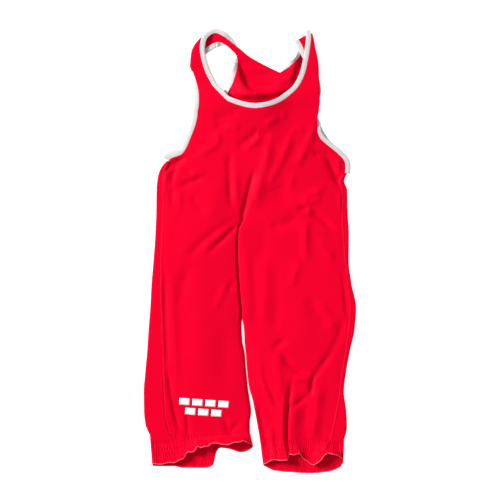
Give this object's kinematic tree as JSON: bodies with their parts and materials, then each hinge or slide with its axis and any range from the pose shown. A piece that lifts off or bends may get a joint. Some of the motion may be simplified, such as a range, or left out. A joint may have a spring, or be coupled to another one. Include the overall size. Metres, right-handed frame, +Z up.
{
  "type": "wrestling singlet laid flat",
  "caption": "Sleeveless one-piece wrestling suit in stretch knit, laid flat, with a racer back, bound neck and armholes and gathered elastic leg bands.",
  "frame": {"origin": "on the table under the middle of the laid garment's box", "axes": "+Z up from the table, out of the garment's front; +Y towards the neck; +X to the right of someone looking down at the front"},
  "size_m": [0.3826, 0.8016, 0.0103],
  "materials": {
    "red_knit": "fine red polyester and elastane warp knit, soft satin sheen",
    "red_band": "the same red knit turned over an elastic and gathered in fine upright ribs",
    "white_binding": "folded white knit binding, finely ribbed, with a line of stitching along each edge"
  },
  "bodies": {
    "root": {"front_panel": "red_knit", "back_panel": "red_knit", "left_leg_band": "red_band", "right_leg_band": "red_band", "front_neck_binding": "white_binding", "back_neck_left_binding": "white_binding", "back_neck_right_binding": "white_binding", "left_armhole_front_binding": "white_binding", "left_armhole_back_binding": "white_binding", "right_armhole_front_binding": "white_binding", "right_armhole_back_binding": "white_binding"}
  },
  "joints": []
}
